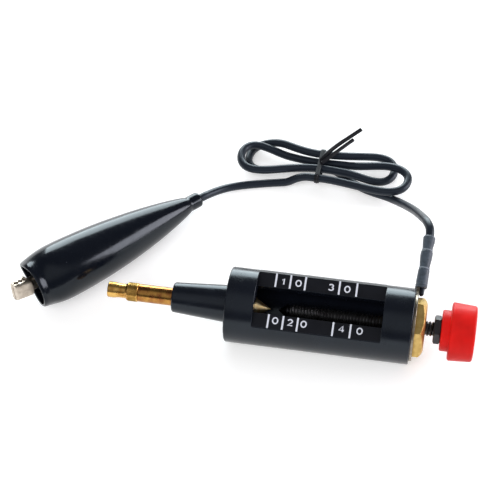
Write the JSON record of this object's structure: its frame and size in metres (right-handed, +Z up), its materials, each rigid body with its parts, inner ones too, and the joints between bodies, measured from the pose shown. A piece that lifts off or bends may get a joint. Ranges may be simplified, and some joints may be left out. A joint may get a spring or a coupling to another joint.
{
  "type": "ignition tester",
  "caption": "Adjustable spark-gap ignition tester: windowed barrel with a screw-set point, coil terminal, red knob, and an earthing lead with a booted clip.",
  "frame": {"origin": "bottom centre of the tester without its lead: under the middle of the barrel assembly's length, on the surface it lies on", "axes": "+X along the barrel from the coil terminal to the knob, +Z up, the window rolled towards -Y"},
  "size_m": [0.1854, 0.1285, 0.0338],
  "materials": {
    "barrel_plastic": "satin",
    "terminal_brass": "turned",
    "rod_brass": "drawn",
    "lug_steel": "tin plated",
    "point_steel": "turned",
    "nut_black": "black oxide",
    "knob_red": "moulded",
    "label_black": "printed",
    "sleeve_rubber": "matte",
    "lead_vinyl": "soft gloss",
    "tie_plastic": "matte",
    "boot_vinyl": "gloss",
    "jaw_steel": "nickel plated",
    "pin_steel": "zinc plated"
  },
  "bodies": {
    "housing": {"barrel": "barrel_plastic", "terminal_nut": "terminal_brass", "terminal_stud": "terminal_brass", "terminal_rod": "rod_brass", "fixed_point": "terminal_brass", "end_plug": "terminal_brass", "ring_lug": "lug_steel", "label_upper": "label_black", "label_lower": "label_black", "sleeve_lower": "sleeve_rubber", "sleeve_middle": "sleeve_rubber", "sleeve_upper": "sleeve_rubber", "lead_rise": "lead_vinyl", "lead_hank": "lead_vinyl", "lead_run": "lead_vinyl", "twist_tie": "tie_plastic", "boot": "boot_vinyl", "lower_jaw": "jaw_steel", "pivot_pin": "pin_steel", "jaw_spring": "pin_steel", "clip_screw": "pin_steel"},
    "point_carrier": {"moving_point": "point_steel"},
    "screw": {"spindle": "nut_black", "jam_nut": "nut_black", "knob": "knob_red", "knob_insert": "terminal_brass"},
    "moving_jaw": {"upper_jaw": "jaw_steel"}
  },
  "joints": [
    {"name": "spindle_travel", "type": "slide", "parent": "housing", "child": "point_carrier", "axis": [1, 0, 0], "range_m": [-0.0027, 0.0293]},
    {"name": "spindle_turn", "type": "hinge", "parent": "point_carrier", "child": "screw", "pos_m": [0, 0, 0.015], "axis": [1, 0, 0], "range_deg": [-780, 8440]},
    {"name": "jaw_open", "type": "hinge", "parent": "housing", "child": "moving_jaw", "pos_m": [-0.09399, 0.00957, 0.01315], "axis": [-0.2984, 0.3534, 0.8866], "range_deg": [0, 11], "stiffness_Nm_per_rad": 0.12}
  ],
  "couplings": [
    {"joint": "spindle_turn", "follows": "spindle_travel", "rad_per_m": 5026.5}
  ]
}
